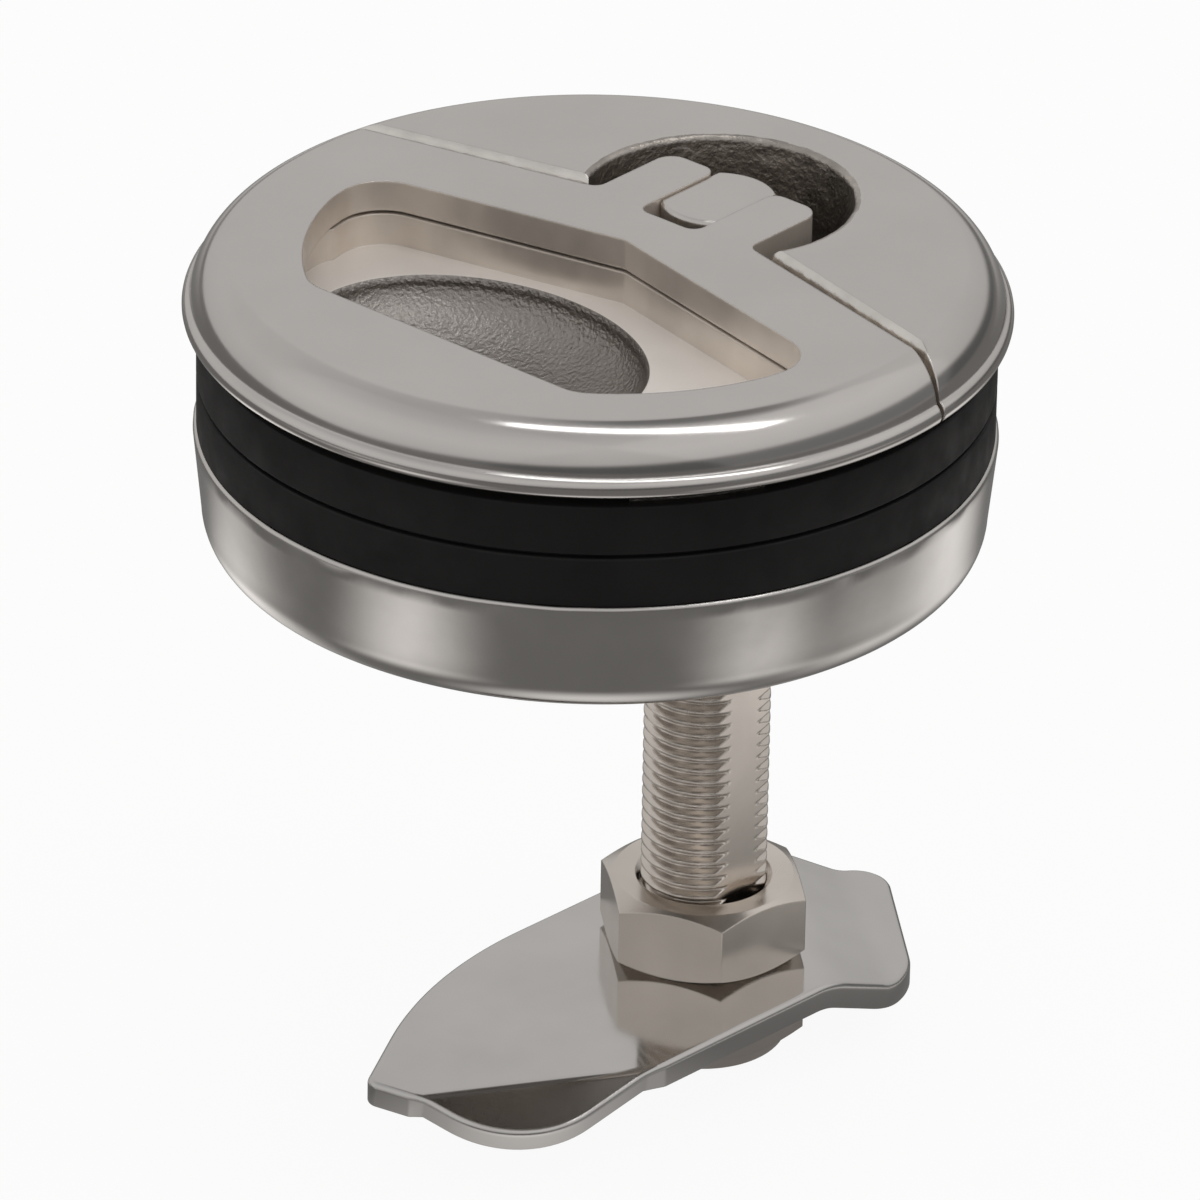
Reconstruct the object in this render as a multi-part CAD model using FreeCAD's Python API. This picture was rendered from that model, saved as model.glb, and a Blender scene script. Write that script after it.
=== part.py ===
"""Flush lift-and-turn compression latch for a marine hatch.

Origin at the centre of the round flange, on the face that seats on the upper gasket.
+Z points up out of the deck, +Y from the finger well to the handle's hinge, +X along the hinge pin.
Lengths are in millimetres, angles in degrees.
"""
import FreeCAD, Part
import math
import os

V = FreeCAD.Vector

# Flange and its rolled edge
flange_radius = 38.0
flange_top = 7.2
bevel_width = 4.4
bevel_mid_width = 2.0
bevel_mid_drop = 1.45
bead_radius = 1.0
bead_height = 2.1
bead_step = 0.25

# Handle plate; its rear edge is a shallow V in front of the hinge
plate_thickness = 3.2
skirt_wall = 3.4
edge_to_hinge = 4.3
edge_angle = 13.05
edge_undercut = 1.3
knuckle_inner_x = 3.5
knuckle_width = 5.7
knuckle_fillet = 1.9
slot_to_hinge = 7.4
root_fillet = 1.3

# Finger opening: a round hole, cut off by the V web behind and a straight edge in front
well_rim = 10.15
well_centre_x = 1.15
well_web = 8.8
well_edge_angle = 12.4
well_front_y = -22.8
well_corner_fillet = 4.5
well_front_fillet = 4.0
well_undercut = 4.0
well_floor = 0.7

# Finger dish in the well's floor
dish_x = -3.6
dish_y = -13.0
dish_half_x = 17.4
dish_half_y = 13.6
dish_depth = 6.2
dish_wall = 2.0

# Hinge and heel
hinge_inset = 12.8
hinge_z = 3.2
pin_radius = 2.0
heel_lift = 3.0
heel_open_reach = 3.7
heel_flat_y = -4.5
heel_shoulder_y = -6.8
lift_angle = 90.0
heel_points = 13

# Recess round the hinge
recess_radius = 12.5
recess_floor_radius = 10.8
recess_front = 10.0
recess_lip = 0.6
recess_wall = 1.8
recess_floor_wall = 2.0

# Housing
base_thickness = 1.7
platform_step = 0.8
seat_wall = 1.5
groove_gap = 0.5
groove_mid = 0.75
groove_top = 1.3
groove_mid_height = 1.8
lug_angle = 34.0
lug_span = 20.0
lug_reach = 1.7
spigot_wall = 3.0
boss_radius = 10.0
boss_lip = 1.8

# Shaft, bush and seal
eye_drop = 0.25
journal_radius = 5.5
stud_radius = 6.0
stud_flat = 4.95
stud_recess = 0.6
bush_wall = 1.6
bush_flange = 1.2
bush_flange_radius = 9.8
bush_length = 8.1
seal_cord = 0.75
seal_groove_height = 1.7

# Gaskets and backing cup
gasket_overhang = 0.2
gasket_width = 6.7
gasket_thickness = 5.0
cup_radius = 36.5
cup_height = 11.4
cup_draft = 0.9
cup_sheet = 1.2
cup_corner = 3.4

# Screws that hold the cup
screw_inset = 5.5
screw_count = 3
screw_first_angle = 30.0
screw_radius = 2.0
screw_grip = 7.0
screw_head_radius = 3.8
screw_head_height = 2.2
washer_radius = 4.4
washer_thickness = 0.8
screw_boss_radius = 4.2

# Cam plate, measured from the shaft's centre before the plate is turned
cam_turn = -3.8
cam_top = -71.6
cam_thickness = 2.5
cam_right = 14.45
cam_left = 13.4
cam_tip_x = -2.6
cam_tip_y = -42.0
cam_tip_fillet = 1.6
cam_front_y = -37.3
cam_front_fillet = 11.0
cam_taper_y = -23.8
cam_taper_fillet = 45.0
cam_tail_x = -2.5
cam_tail_y = 28.0
cam_tail_fillet = 3.5
cam_tail_right_y = 14.5
cam_tail_left_y = 8.0
cam_tail_side_fillet = 8.0
ramp_start_y = -20.5
ramp_direction = 59.8
ramp_drop = 24.0
joggle_start = 10.4
joggle_length = 7.0
joggle_drop = 3.5
joggle_direction = 56.9
joggle_bend = 7.0

# Nuts on the stud; the lower one has a round locking collar
nut_across_flats = 18.0
nut_height = 7.4
nut_face_radius = 8.55
nut_chamfer_angle = 30.0
nut_turn = 21.0
lock_hex_height = 5.9
collar_radius = 8.3
collar_height = 1.5
collar_round = 0.8

# Clearances
base_gap = 0.6
lug_gap = 0.2
plate_gap = 0.15
side_gap = 0.1
running_gap = 0.05
thread_gap = 0.05
hole_gap = 0.5
gasket_gap = 0.5

# Reach of a cutting tool past what it cuts
margin = 1.0

# Derived sizes
flat_radius = flange_radius - bevel_width
bead_x = flange_radius - bead_radius
rim_bottom = bead_height - bead_radius
skirt_radius = flange_radius - skirt_wall
base_radius = skirt_radius - base_gap
platform_radius = base_radius - platform_step
plate_bottom = flange_top - plate_thickness
platform_top = plate_bottom - plate_gap
gasket_radius = cup_radius + gasket_overhang
gasket_bore = gasket_radius - gasket_width
spigot_radius = gasket_bore - gasket_gap
hinge_y = spigot_radius - hinge_inset
lever_edge_y = hinge_y - edge_to_hinge
slot_front_y = hinge_y - slot_to_hinge
well_apex_y = lever_edge_y - well_web
well_radius = flange_radius - well_rim
knuckle_outer_x = knuckle_inner_x + knuckle_width
edge_slope = math.tan(math.radians(edge_angle))
well_slope = math.tan(math.radians(well_edge_angle))
heel_rate = heel_lift / math.radians(lift_angle)
heel_closed_reach = heel_open_reach + heel_lift
heel_seat = hinge_z - heel_closed_reach
recess_floor = heel_seat - bush_flange
bush_bore = journal_radius + running_gap
bush_radius = bush_bore + bush_wall
bush_bottom = recess_floor - bush_length
seal_centre = bush_bore + seal_cord
boss_bottom = bush_bottom - seal_groove_height - boss_lip
eye_bottom = boss_bottom - hole_gap
eye_top = flange_top - eye_drop
eye_half = knuckle_inner_x - side_gap
cup_top = -2.0 * gasket_thickness
cup_bottom = cup_top - cup_height
spigot_bottom = cup_bottom + cup_sheet
shell_floor = -seat_wall
screw_circle = spigot_radius - screw_inset
cam_bottom = cam_top - cam_thickness
lock_hex_bottom = cam_bottom - lock_hex_height
collar_bottom = lock_hex_bottom - collar_height
stud_end = collar_bottom + stud_recess
far = 2.0 * flange_radius


def cylinder(radius, low, high, x=0.0, y=0.0):
    """Upright cylinder between two heights."""
    return Part.makeCylinder(radius, high - low, V(x, y, low))


def box(x0, x1, y0, y1, z0, z1):
    """Box between two corners."""
    return Part.makeBox(x1 - x0, y1 - y0, z1 - z0, V(x0, y0, z0))


def rounded_outline(corners):
    """Closed flat wire at z = 0 through corners (x, y, fillet radius)."""
    starts = []
    ends = []
    middles = []
    count = len(corners)
    for i in range(count):
        x, y, radius = corners[i]
        here = V(x, y, 0)
        back = (V(*corners[i - 1][:2], 0) - here).normalize()
        ahead = (V(*corners[(i + 1) % count][:2], 0) - here).normalize()
        half = back.getAngle(ahead) / 2.0
        trim = radius / math.tan(half)
        bisector = (back + ahead).normalize()
        starts.append(here + back * trim)
        ends.append(here + ahead * trim)
        middles.append(here + bisector * (radius / math.sin(half) - radius))
    edges = []
    for i in range(count):
        if corners[i][2] > 0:
            edges.append(Part.Arc(starts[i], middles[i], ends[i]).toShape())
        edges.append(Part.LineSegment(ends[i], starts[(i + 1) % count]).toShape())
    return Part.Wire(edges)


def prism(wire, low, high):
    """Solid between two heights over a flat wire drawn at z = 0."""
    base = Part.Face(wire)
    base.translate(V(0, 0, low))
    return base.extrude(V(0, 0, high - low))


def revolve(wire):
    """Solid of revolution about Z of a closed wire in the XZ plane."""
    return Part.Face(wire).revolve(V(0, 0, 0), V(0, 0, 1), 360)


def round_edges(shape, radius, wanted):
    """Fillet the edges that the test picks."""
    edges = [edge for edge in shape.Edges if wanted(edge)]
    return shape.makeFillet(radius, edges)


def at_height(edge, height):
    """True if the whole edge lies at one height."""
    box_of_edge = edge.BoundBox
    return abs(box_of_edge.ZMin - height) < 1e-4 and abs(box_of_edge.ZMax - height) < 1e-4


def flange_blank():
    """Full disc of the flange: flat top, curved bevel and rolled bead."""
    neck = V(bead_x + bead_step, 0, bead_height + bead_radius)
    top_in = V(0, 0, flange_top)
    top_out = V(flat_radius, 0, flange_top)
    bevel_mid = V(flange_radius - bevel_mid_width, 0, flange_top - bevel_mid_drop)
    bead_low = V(bead_x, 0, rim_bottom)
    edges = [
        Part.LineSegment(top_in, top_out).toShape(),
        Part.Arc(top_out, bevel_mid, neck).toShape(),
        Part.Arc(neck, V(flange_radius, 0, bead_height), bead_low).toShape(),
        Part.LineSegment(bead_low, V(0, 0, rim_bottom)).toShape(),
        Part.LineSegment(V(0, 0, rim_bottom), top_in).toShape(),
    ]
    return revolve(Part.Wire(edges))


def lever_edge(x):
    """Y of the handle's rear edge, a shallow V."""
    return lever_edge_y - abs(x) * edge_slope


def lever_outline():
    """Plan of the handle: everything in front of the V edge, with its two knuckles."""
    reach = hinge_y + heel_open_reach
    inner = knuckle_inner_x
    outer = knuckle_outer_x
    right = [
        (inner, slot_front_y, root_fillet),
        (inner, reach, root_fillet),
        (outer, reach, knuckle_fillet),
        (outer, lever_edge(outer), root_fillet),
        (far, lever_edge(far), 0.0),
        (far, -far, 0.0),
    ]
    left = [(-x, y, radius) for x, y, radius in reversed(right)]
    return rounded_outline(right + left)


def well_cut(low, high, forward=0.0):
    """Solid of the finger opening with rounded upright corners, shifted forward if asked."""
    side_y = well_apex_y - far * well_slope
    corners = [
        V(0, well_apex_y, 0),
        V(far, side_y, 0),
        V(far, well_front_y, 0),
        V(-far, well_front_y, 0),
        V(-far, side_y, 0),
        V(0, well_apex_y, 0),
    ]
    cut = prism(Part.makePolygon(corners), low, high)
    cut = cut.common(cylinder(well_radius, low, high, well_centre_x))

    def corner(edge, rear):
        size = edge.BoundBox
        upright = size.ZLength > high - low - margin / 2
        beside_apex = abs(size.XMax - well_centre_x) > well_corner_fillet
        behind_front = size.YMax > well_front_y + margin
        return upright and beside_apex and behind_front == rear

    cut = round_edges(cut, well_corner_fillet, lambda edge: corner(edge, True))
    cut = round_edges(cut, well_front_fillet, lambda edge: corner(edge, False))
    cut.translate(V(0, -forward, 0))
    return cut


def heel_section():
    """Side view of a knuckle, in the YZ plane.

    The underside is an involute: its distance from the pin falls evenly as the handle
    turns, so the shaft drops by the same amount for each degree of lift.
    """
    curve = []
    for i in range(heel_points):
        angle = math.radians(lift_angle) * i / (heel_points - 1)
        reach = heel_closed_reach - heel_rate * angle
        y = reach * math.sin(angle) - heel_rate * math.cos(angle)
        z = -reach * math.cos(angle) - heel_rate * math.sin(angle)
        curve.append(V(0, hinge_y + y, hinge_z + z))
    spline = Part.BSplineCurve()
    spline.interpolate(curve)
    corners = [
        curve[-1],
        V(0, hinge_y + heel_open_reach, flange_top),
        V(0, hinge_y + heel_shoulder_y, flange_top),
        V(0, hinge_y + heel_shoulder_y, plate_bottom),
        V(0, hinge_y + heel_flat_y, heel_seat),
        curve[0],
    ]
    edges = [spline.toShape()]
    for start, end in zip(corners, corners[1:]):
        edges.append(Part.LineSegment(start, end).toShape())
    return Part.Face(Part.Wire(edges))


def knuckles():
    """The two hinge knuckles with their heels."""
    section = heel_section()
    pair = []
    for side in (knuckle_inner_x, -knuckle_outer_x):
        blank = section.extrude(V(knuckle_width, 0, 0))
        blank.translate(V(side, 0, 0))
        pair.append(blank)
    return pair[0].fuse(pair[1])


def make_handle():
    """Half-moon handle: domed plate with a skirt, finger opening and two hinge knuckles."""
    plate = flange_blank()
    plate = plate.cut(cylinder(skirt_radius, rim_bottom - margin, plate_bottom))
    plate = plate.cut(edge_relief())
    plate = plate.fuse(knuckles())
    plate = plate.common(prism(lever_outline(), heel_seat - margin, flange_top + margin))
    plate = plate.cut(well_cut(rim_bottom - margin, flange_top + margin))
    bore = Part.makeCylinder(pin_radius + running_gap, far, V(-flange_radius, hinge_y, hinge_z), V(1, 0, 0))
    return plate.cut(bore).removeSplitter()


def along_edge(section, start_x):
    """Both arms of the V from a section in the YZ plane drawn at the V's line."""
    arm = section.extrude(V(2 * far, 0, 0))
    arm.translate(V(-far, 0, 0))
    arm.rotate(V(0, 0, 0), V(0, 0, 1), -edge_angle)
    arm.translate(V(0, lever_edge_y, 0))
    arm = arm.common(box(start_x, far, -far, far, -far, far))
    return [arm, arm.mirror(V(0, 0, 0), V(1, 0, 0))]


def edge_relief():
    """Wedges off the face of the handle's rear edge, which swings backwards as it rises.

    The knuckles' roots and the ends of the skirt stay whole.
    """
    low = plate_bottom - margin
    corners = [
        V(0, 0, flange_top),
        V(0, far, flange_top),
        V(0, far, low),
        V(0, -edge_undercut, low),
        V(0, -edge_undercut, plate_bottom),
        V(0, 0, flange_top),
    ]
    arms = along_edge(Part.Face(Part.makePolygon(corners)), knuckle_outer_x + root_fillet)
    inside = cylinder(skirt_radius, low, flange_top)
    return [arm.common(inside) for arm in arms]


def groove_cut():
    """What lies in front of the V, with the rear flange's edge rolled back."""
    low = rim_bottom - margin
    high = flange_top + margin
    foot = V(0, groove_gap, plate_bottom)
    middle = V(0, groove_mid, plate_bottom + groove_mid_height)
    top = V(0, groove_top, flange_top)
    corners = [top, V(0, groove_top, high), V(0, -far, high), V(0, -far, low), V(0, groove_gap, low), foot]
    edges = [Part.Arc(foot, middle, top).toShape()]
    for start, end in zip(corners, corners[1:]):
        edges.append(Part.LineSegment(start, end).toShape())
    return along_edge(Part.Face(Part.Wire(edges)), 0)


def rear_flange():
    """Fixed rear part of the flange, behind the handle's V edge."""
    return flange_blank().cut(groove_cut())


def recess_cut():
    """Tapered recess round the hinge with a rounded lip, and a square bay for the heels' swing."""
    high = flange_top + margin
    rim = recess_radius + recess_lip
    mid = recess_lip * (1.0 - math.sqrt(0.5))
    wall_top = V(recess_radius, 0, flange_top - recess_lip)
    edges = [
        Part.LineSegment(V(0, 0, recess_floor), V(recess_floor_radius, 0, recess_floor)).toShape(),
        Part.LineSegment(V(recess_floor_radius, 0, recess_floor), wall_top).toShape(),
        Part.Arc(wall_top, V(recess_radius + mid, 0, flange_top - mid), V(rim, 0, flange_top)).toShape(),
        Part.LineSegment(V(rim, 0, flange_top), V(rim, 0, high)).toShape(),
        Part.LineSegment(V(rim, 0, high), V(0, 0, high)).toShape(),
        Part.LineSegment(V(0, 0, high), V(0, 0, recess_floor)).toShape(),
    ]
    bowl = revolve(Part.Wire(edges))
    bowl.translate(V(0, hinge_y, 0))
    bowl = bowl.common(box(-far, far, hinge_y - recess_front, far, recess_floor, high))
    half = knuckle_outer_x + hole_gap
    return bowl.fuse(box(-half, half, hinge_y - recess_front, hinge_y, recess_floor, high))


def hub_blank():
    """Outside of the recess and the shaft boss below it."""
    low = recess_floor - recess_floor_wall
    half = knuckle_outer_x + hole_gap + recess_wall
    hub = cylinder(recess_radius + recess_wall, low, 0, 0, hinge_y)
    bay = box(-half, half, hinge_y - recess_front - recess_wall, hinge_y, low, 0)
    return hub.fuse([bay, cylinder(boss_radius, boss_bottom, 0, 0, hinge_y)])


def seat_lugs():
    """Cast lugs on the edge of the base, seen in the gap under the rim."""
    lugs = []
    radius = base_radius + lug_reach
    height = rim_bottom - lug_gap
    for angle in (-lug_angle, 180 + lug_angle):
        wedge = Part.makeCylinder(radius, height, V(0, 0, 0), V(0, 0, 1), lug_span)
        wedge.rotate(V(0, 0, 0), V(0, 0, 1), angle - lug_span / 2)
        lugs.append(wedge)
    return lugs


def screw_places():
    """Centres of the cup's screws."""
    step = 360.0 / screw_count
    places = []
    for i in range(screw_count):
        angle = math.radians(screw_first_angle + i * step)
        places.append((screw_circle * math.cos(angle), screw_circle * math.sin(angle)))
    return places


def make_housing():
    """Cast housing: seat, rear flange, finger well, hinge recess, spigot and shaft boss."""
    spigot = cylinder(spigot_radius, spigot_bottom, 0)
    spigot = spigot.cut(cylinder(spigot_radius - spigot_wall, spigot_bottom - margin, shell_floor))
    body = cylinder(base_radius, 0, base_thickness)
    body = body.fuse([cylinder(platform_radius, 0, platform_top), spigot, rear_flange()] + seat_lugs())
    bowl = dish(dish_wall).common(box(-far, far, -far, far, -far, 0))
    posts = [cylinder(screw_boss_radius, spigot_bottom, 0, x, y) for x, y in screw_places()]
    inside = cylinder(spigot_radius, spigot_bottom, well_floor)
    body = body.fuse([hub_blank().common(inside), bowl.common(inside)] + posts)
    well = well_cut(well_floor, flange_top + margin)
    under_handle = well_cut(well_floor, flange_top + margin, well_undercut)
    body = body.cut([well, under_handle, dish(0.0), recess_cut(), handle_space()])
    body = body.cut(cylinder(bush_radius, bush_bottom - seal_groove_height, flange_top, 0, hinge_y))
    body = body.cut(cylinder(journal_radius + hole_gap / 2, boss_bottom - margin, 0, 0, hinge_y))
    low = spigot_bottom - margin
    holes = [cylinder(screw_radius, low, spigot_bottom + screw_grip, x, y) for x, y in screw_places()]
    return body.cut(holes).removeSplitter()


def handle_space():
    """Room for the handle's skirt in front of the rear flange."""
    high = flange_top + margin
    ring = cylinder(far, base_thickness, high).cut(cylinder(platform_radius, 0, high + margin))
    front = [
        (0.0, lever_edge(0.0), 0.0),
        (far, lever_edge(far), 0.0),
        (far, -far, 0.0),
        (-far, -far, 0.0),
        (-far, lever_edge(-far), 0.0),
    ]
    return ring.common(prism(rounded_outline(front), 0, high))


def dish(wall):
    """Half-ellipsoid bowl of the finger dish, grown by a wall."""
    ball = Part.makeSphere(1.0)
    scale = FreeCAD.Matrix()
    scale.scale(V(dish_half_x + wall, dish_half_y + wall, dish_depth + wall))
    bowl = ball.transformGeometry(scale)
    bowl.translate(V(dish_x, dish_y, well_floor))
    return bowl


def make_hinge_pin():
    """Pin through the knuckles and the shaft's eye."""
    length = 2 * knuckle_outer_x - 2 * side_gap
    return Part.makeCylinder(pin_radius, length, V(-length / 2, hinge_y, hinge_z), V(1, 0, 0))


def flatted(bar, half, low, high):
    """Bar with two flats at the same distance from its axis."""
    sides = [box(half, far, -far, far, low, high), box(-far, -half, -far, far, low, high)]
    return bar.cut(sides)


def make_shaft():
    """Shaft: flat eye, round journal and a stud with two flats."""
    eye = flatted(cylinder(journal_radius, eye_bottom, eye_top), eye_half, heel_seat - side_gap, flange_top)
    stud = flatted(cylinder(stud_radius, stud_end, eye_bottom), stud_flat, stud_end - margin, eye_bottom)
    stud.rotate(V(0, 0, 0), V(0, 0, 1), cam_turn)
    bore = Part.makeCylinder(pin_radius + running_gap / 2, far, V(-flange_radius, 0, hinge_z), V(1, 0, 0))
    shaft = eye.fuse(stud).cut(bore).removeSplitter()
    shaft.translate(V(0, hinge_y, 0))
    return shaft


def make_bush():
    """Flanged bush in the shaft boss; the heels bear on its flange."""
    flange = cylinder(bush_flange_radius, recess_floor, heel_seat, 0, hinge_y)
    sleeve = cylinder(bush_radius - running_gap / 2, bush_bottom, recess_floor, 0, hinge_y)
    bore = cylinder(bush_bore, bush_bottom - margin, heel_seat + margin, 0, hinge_y)
    return flange.fuse(sleeve).cut(bore).removeSplitter()


def make_seal():
    """O-ring round the shaft under the bush."""
    height = bush_bottom - seal_groove_height / 2
    return Part.makeTorus(seal_centre, seal_cord, V(0, hinge_y, height))


def make_gasket(low):
    """One rubber ring round the spigot."""
    ring = cylinder(gasket_radius, low, low + gasket_thickness)
    return ring.cut(cylinder(gasket_bore, low - margin, low + gasket_thickness + margin))


def make_cup():
    """Drawn backing cup: slightly tapered wall, rounded corner and flat floor."""
    low = cup_radius - cup_draft
    inner_corner = cup_corner - cup_sheet
    outline = [
        (0.0, cup_bottom, 0.0),
        (low, cup_bottom, cup_corner),
        (cup_radius, cup_top, 0.0),
        (cup_radius - cup_sheet, cup_top, 0.0),
        (low - cup_sheet, cup_bottom + cup_sheet, inner_corner),
        (0.0, cup_bottom + cup_sheet, 0.0),
    ]
    wire = rounded_outline(outline)
    wire.rotate(V(0, 0, 0), V(1, 0, 0), 90)
    cup = revolve(wire)
    cup = cup.cut(cylinder(stud_radius + hole_gap, cup_bottom - margin, cup_top, 0, hinge_y))
    holes = [cylinder(screw_radius + hole_gap, cup_bottom - margin, cup_top, x, y) for x, y in screw_places()]
    return cup.cut(holes)


def make_cup_screw(x, y):
    """Pan-head screw up through the cup's floor."""
    head_top = cup_bottom - washer_thickness
    tip = spigot_bottom + screw_grip - hole_gap
    shank = cylinder(screw_radius - running_gap, head_top, tip, x, y)
    head_bottom = head_top - screw_head_height
    head = cylinder(screw_head_radius, head_bottom, head_top, x, y)
    head = round_edges(head, screw_head_height / 2, lambda edge: at_height(edge, head_bottom))
    return shank.fuse(head).removeSplitter()


def make_screw_washer(x, y):
    """Sealing washer under one screw's head."""
    ring = cylinder(washer_radius, cup_bottom - washer_thickness, cup_bottom, x, y)
    return ring.cut(cylinder(screw_radius + running_gap, cup_bottom - far, cup_bottom + margin, x, y))


def at_each_screw(make):
    """Compound of one separate piece at each screw."""
    return Part.makeCompound([make(x, y) for x, y in screw_places()])


def hex_nut(low, height):
    """Hexagon nut with both faces chamfered."""
    corner = nut_across_flats / math.sqrt(3.0)
    points = []
    for i in range(7):
        angle = math.radians(60 * i + nut_turn)
        points.append(V(corner * math.cos(angle), corner * math.sin(angle), 0))
    nut = prism(Part.makePolygon(points), 0, height)
    drop = (corner - nut_face_radius) * math.tan(math.radians(nut_chamfer_angle))
    outline = Part.makePolygon([
        V(0, 0, 0),
        V(nut_face_radius, 0, 0),
        V(corner, 0, drop),
        V(corner, 0, height - drop),
        V(nut_face_radius, 0, height),
        V(0, 0, height),
        V(0, 0, 0),
    ])
    nut = nut.common(revolve(outline))
    nut = nut.cut(cylinder(stud_radius + thread_gap, -margin, height + margin))
    nut.translate(V(0, hinge_y, low))
    return nut


def lock_nut():
    """Nut under the cam, with its round locking collar."""
    collar = cylinder(collar_radius, collar_bottom, lock_hex_bottom, 0, hinge_y)
    collar = round_edges(collar, collar_round, lambda edge: at_height(edge, collar_bottom))
    bore = cylinder(stud_radius + thread_gap, collar_bottom - margin, lock_hex_bottom + margin, 0, hinge_y)
    return hex_nut(lock_hex_bottom, lock_hex_height).fuse(collar.cut(bore)).removeSplitter()


def cam_outline():
    """Plan of the cam plate with the shaft at the origin."""
    return rounded_outline([
        (cam_right, cam_tail_right_y, cam_tail_side_fillet),
        (cam_tail_x, cam_tail_y, cam_tail_fillet),
        (-cam_left, cam_tail_left_y, cam_tail_side_fillet),
        (-cam_left, cam_taper_y, cam_taper_fillet),
        (cam_tip_x, cam_tip_y, cam_tip_fillet),
        (cam_right, cam_front_y, cam_front_fillet),
    ])


def joggled_sheet():
    """Endless sheet of the cam's thickness that steps down behind the shaft."""
    angle = math.atan2(joggle_drop, joggle_length)
    shift = cam_thickness * math.tan(angle / 2.0)
    start = joggle_start
    end = joggle_start + joggle_length
    inner = joggle_bend - cam_thickness
    side_view = rounded_outline([
        (-far, cam_top, 0.0),
        (start, cam_top, joggle_bend),
        (end, cam_top - joggle_drop, inner),
        (far, cam_top - joggle_drop, 0.0),
        (far, cam_bottom - joggle_drop, 0.0),
        (end - shift, cam_bottom - joggle_drop, joggle_bend),
        (start - shift, cam_bottom, inner),
        (-far, cam_bottom, 0.0),
    ])
    side_view.rotate(V(0, 0, 0), V(1, 0, 0), 90)
    sheet = Part.Face(side_view).extrude(V(0, 2 * far, 0))
    sheet.translate(V(0, -far, 0))
    sheet.rotate(V(0, 0, 0), V(0, 0, 1), joggle_direction)
    return sheet


def bent_ramp(plate):
    """Bend down the cam's leading corner, to the right of a crease on its top face."""
    angle = math.radians(ramp_direction)
    ahead = V(math.cos(angle), math.sin(angle), 0)
    side = V(ahead.y, -ahead.x, 0)
    origin = V(cam_right, ramp_start_y, cam_top)
    start = origin - ahead * far
    end = origin + ahead * far
    region = Part.Face(Part.makePolygon([start, end, end + side * far, start + side * far, start]))
    region.translate(V(0, 0, margin))
    tool = region.extrude(V(0, 0, -cam_thickness - 2 * margin))
    flap = plate.common(tool)
    rest = plate.cut(tool)
    flap.rotate(origin, ahead, ramp_drop)
    return rest.fuse(flap)


def make_cam():
    """Cam plate: flat arm with a bent-down ramp at one corner, a joggled tail and a double-D hole."""
    plate = prism(cam_outline(), cam_bottom - far, cam_top + margin).common(joggled_sheet())
    plate = bent_ramp(plate).removeSplitter()
    hole = cylinder(stud_radius + thread_gap, cam_bottom - margin, cam_top + margin)
    plate = plate.cut(flatted(hole, stud_flat + thread_gap, cam_bottom - margin, cam_top + margin))
    plate.rotate(V(0, 0, 0), V(0, 0, 1), cam_turn)
    plate.translate(V(0, hinge_y, 0))
    return plate


def main():
    """Write one STEP file per piece."""
    pieces = {
        "housing": make_housing(),
        "handle": make_handle(),
        "hinge_pin": make_hinge_pin(),
        "shaft": make_shaft(),
        "shaft_bush": make_bush(),
        "shaft_seal": make_seal(),
        "upper_gasket": make_gasket(-gasket_thickness),
        "lower_gasket": make_gasket(cup_top),
        "backing_cup": make_cup(),
        "cup_screws": at_each_screw(make_cup_screw),
        "screw_washers": at_each_screw(make_screw_washer),
        "cam": make_cam(),
        "upper_cam_nut": hex_nut(cam_top, nut_height),
        "lower_cam_nut": lock_nut(),
    }
    os.makedirs("parts", exist_ok=True)
    for name, shape in pieces.items():
        shape.exportStep(os.path.join("parts", name + ".step"))
        box_of_piece = shape.BoundBox
        print(name, len(shape.Solids), shape.isValid(), round(shape.Volume, 1), box_of_piece)


main()
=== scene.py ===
"""Looks of the compression latch: cast and polished steel, threads, rubber and the studio round it.

Lengths are in metres, in the part's own frame: +Z out of the deck, +Y towards the handle's hinge.
"""
import bmesh
import bpy
import math
from mathutils import Matrix, Vector, noise


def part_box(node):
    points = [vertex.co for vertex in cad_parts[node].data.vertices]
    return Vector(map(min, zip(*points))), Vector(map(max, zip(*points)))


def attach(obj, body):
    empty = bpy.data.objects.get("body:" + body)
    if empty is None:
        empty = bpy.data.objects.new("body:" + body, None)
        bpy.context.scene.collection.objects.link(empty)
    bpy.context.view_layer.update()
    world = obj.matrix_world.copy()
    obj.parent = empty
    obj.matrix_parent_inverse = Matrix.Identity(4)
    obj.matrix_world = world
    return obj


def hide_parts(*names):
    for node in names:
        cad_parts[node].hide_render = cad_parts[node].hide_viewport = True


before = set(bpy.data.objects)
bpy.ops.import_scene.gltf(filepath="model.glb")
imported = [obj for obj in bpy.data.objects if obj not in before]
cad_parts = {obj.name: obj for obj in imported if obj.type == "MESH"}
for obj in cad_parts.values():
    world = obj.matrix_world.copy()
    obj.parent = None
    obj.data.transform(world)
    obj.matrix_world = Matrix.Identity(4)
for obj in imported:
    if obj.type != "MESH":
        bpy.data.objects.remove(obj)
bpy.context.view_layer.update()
MM = 0.001

# Places read from the frame
handle_low, handle_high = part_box("handle")
shaft_low, shaft_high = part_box("shaft")
cup_low, cup_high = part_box("backing_cup")
upper_ring_low, upper_ring_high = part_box("upper_gasket")
lower_ring_low, lower_ring_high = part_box("lower_gasket")
cam_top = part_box("cam")[1].z
nut_low, nut_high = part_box("upper_cam_nut")
lower_nut_low, lower_nut_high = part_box("lower_cam_nut")
bush_low, bush_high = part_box("shaft_bush")
pin_low, pin_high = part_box("hinge_pin")

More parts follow.
